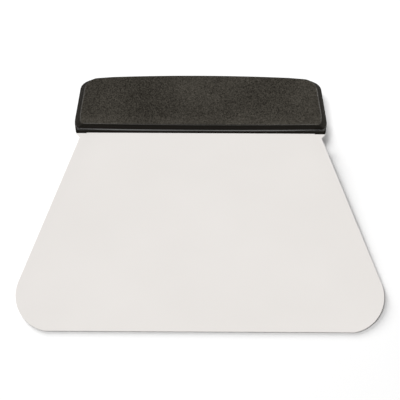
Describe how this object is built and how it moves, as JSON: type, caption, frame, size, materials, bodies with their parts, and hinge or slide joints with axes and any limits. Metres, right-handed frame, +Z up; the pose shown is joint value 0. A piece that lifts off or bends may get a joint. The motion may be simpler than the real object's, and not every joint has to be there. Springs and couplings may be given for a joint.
{
  "type": "dough scraper",
  "caption": "Dough scraper with a flat trapezoidal steel blade, rounded at its lower corners, whose tang is locked inside a ribbed hollow plastic handle.",
  "frame": {"origin": "centre of the bounding box, on the plane of the worktop that the scraper lies on", "axes": "+X across the blade, +Y from the cutting edge towards the handle, +Z up from the worktop"},
  "size_m": [0.16, 0.1181, 0.0167],
  "materials": {
    "blade_steel": "fine satin stainless steel sheet",
    "pin_steel": "ground steel dowel",
    "front_plastic": "black moulded plastic with a fine spark-eroded grain",
    "rear_plastic": "black moulded plastic with a fine spark-eroded grain"
  },
  "bodies": {
    "root": {"blade": "blade_steel", "front_shell": "front_plastic", "rear_shell": "rear_plastic", "tang_pin_left": "pin_steel", "tang_pin_centre": "pin_steel", "tang_pin_right": "pin_steel"}
  },
  "joints": []
}
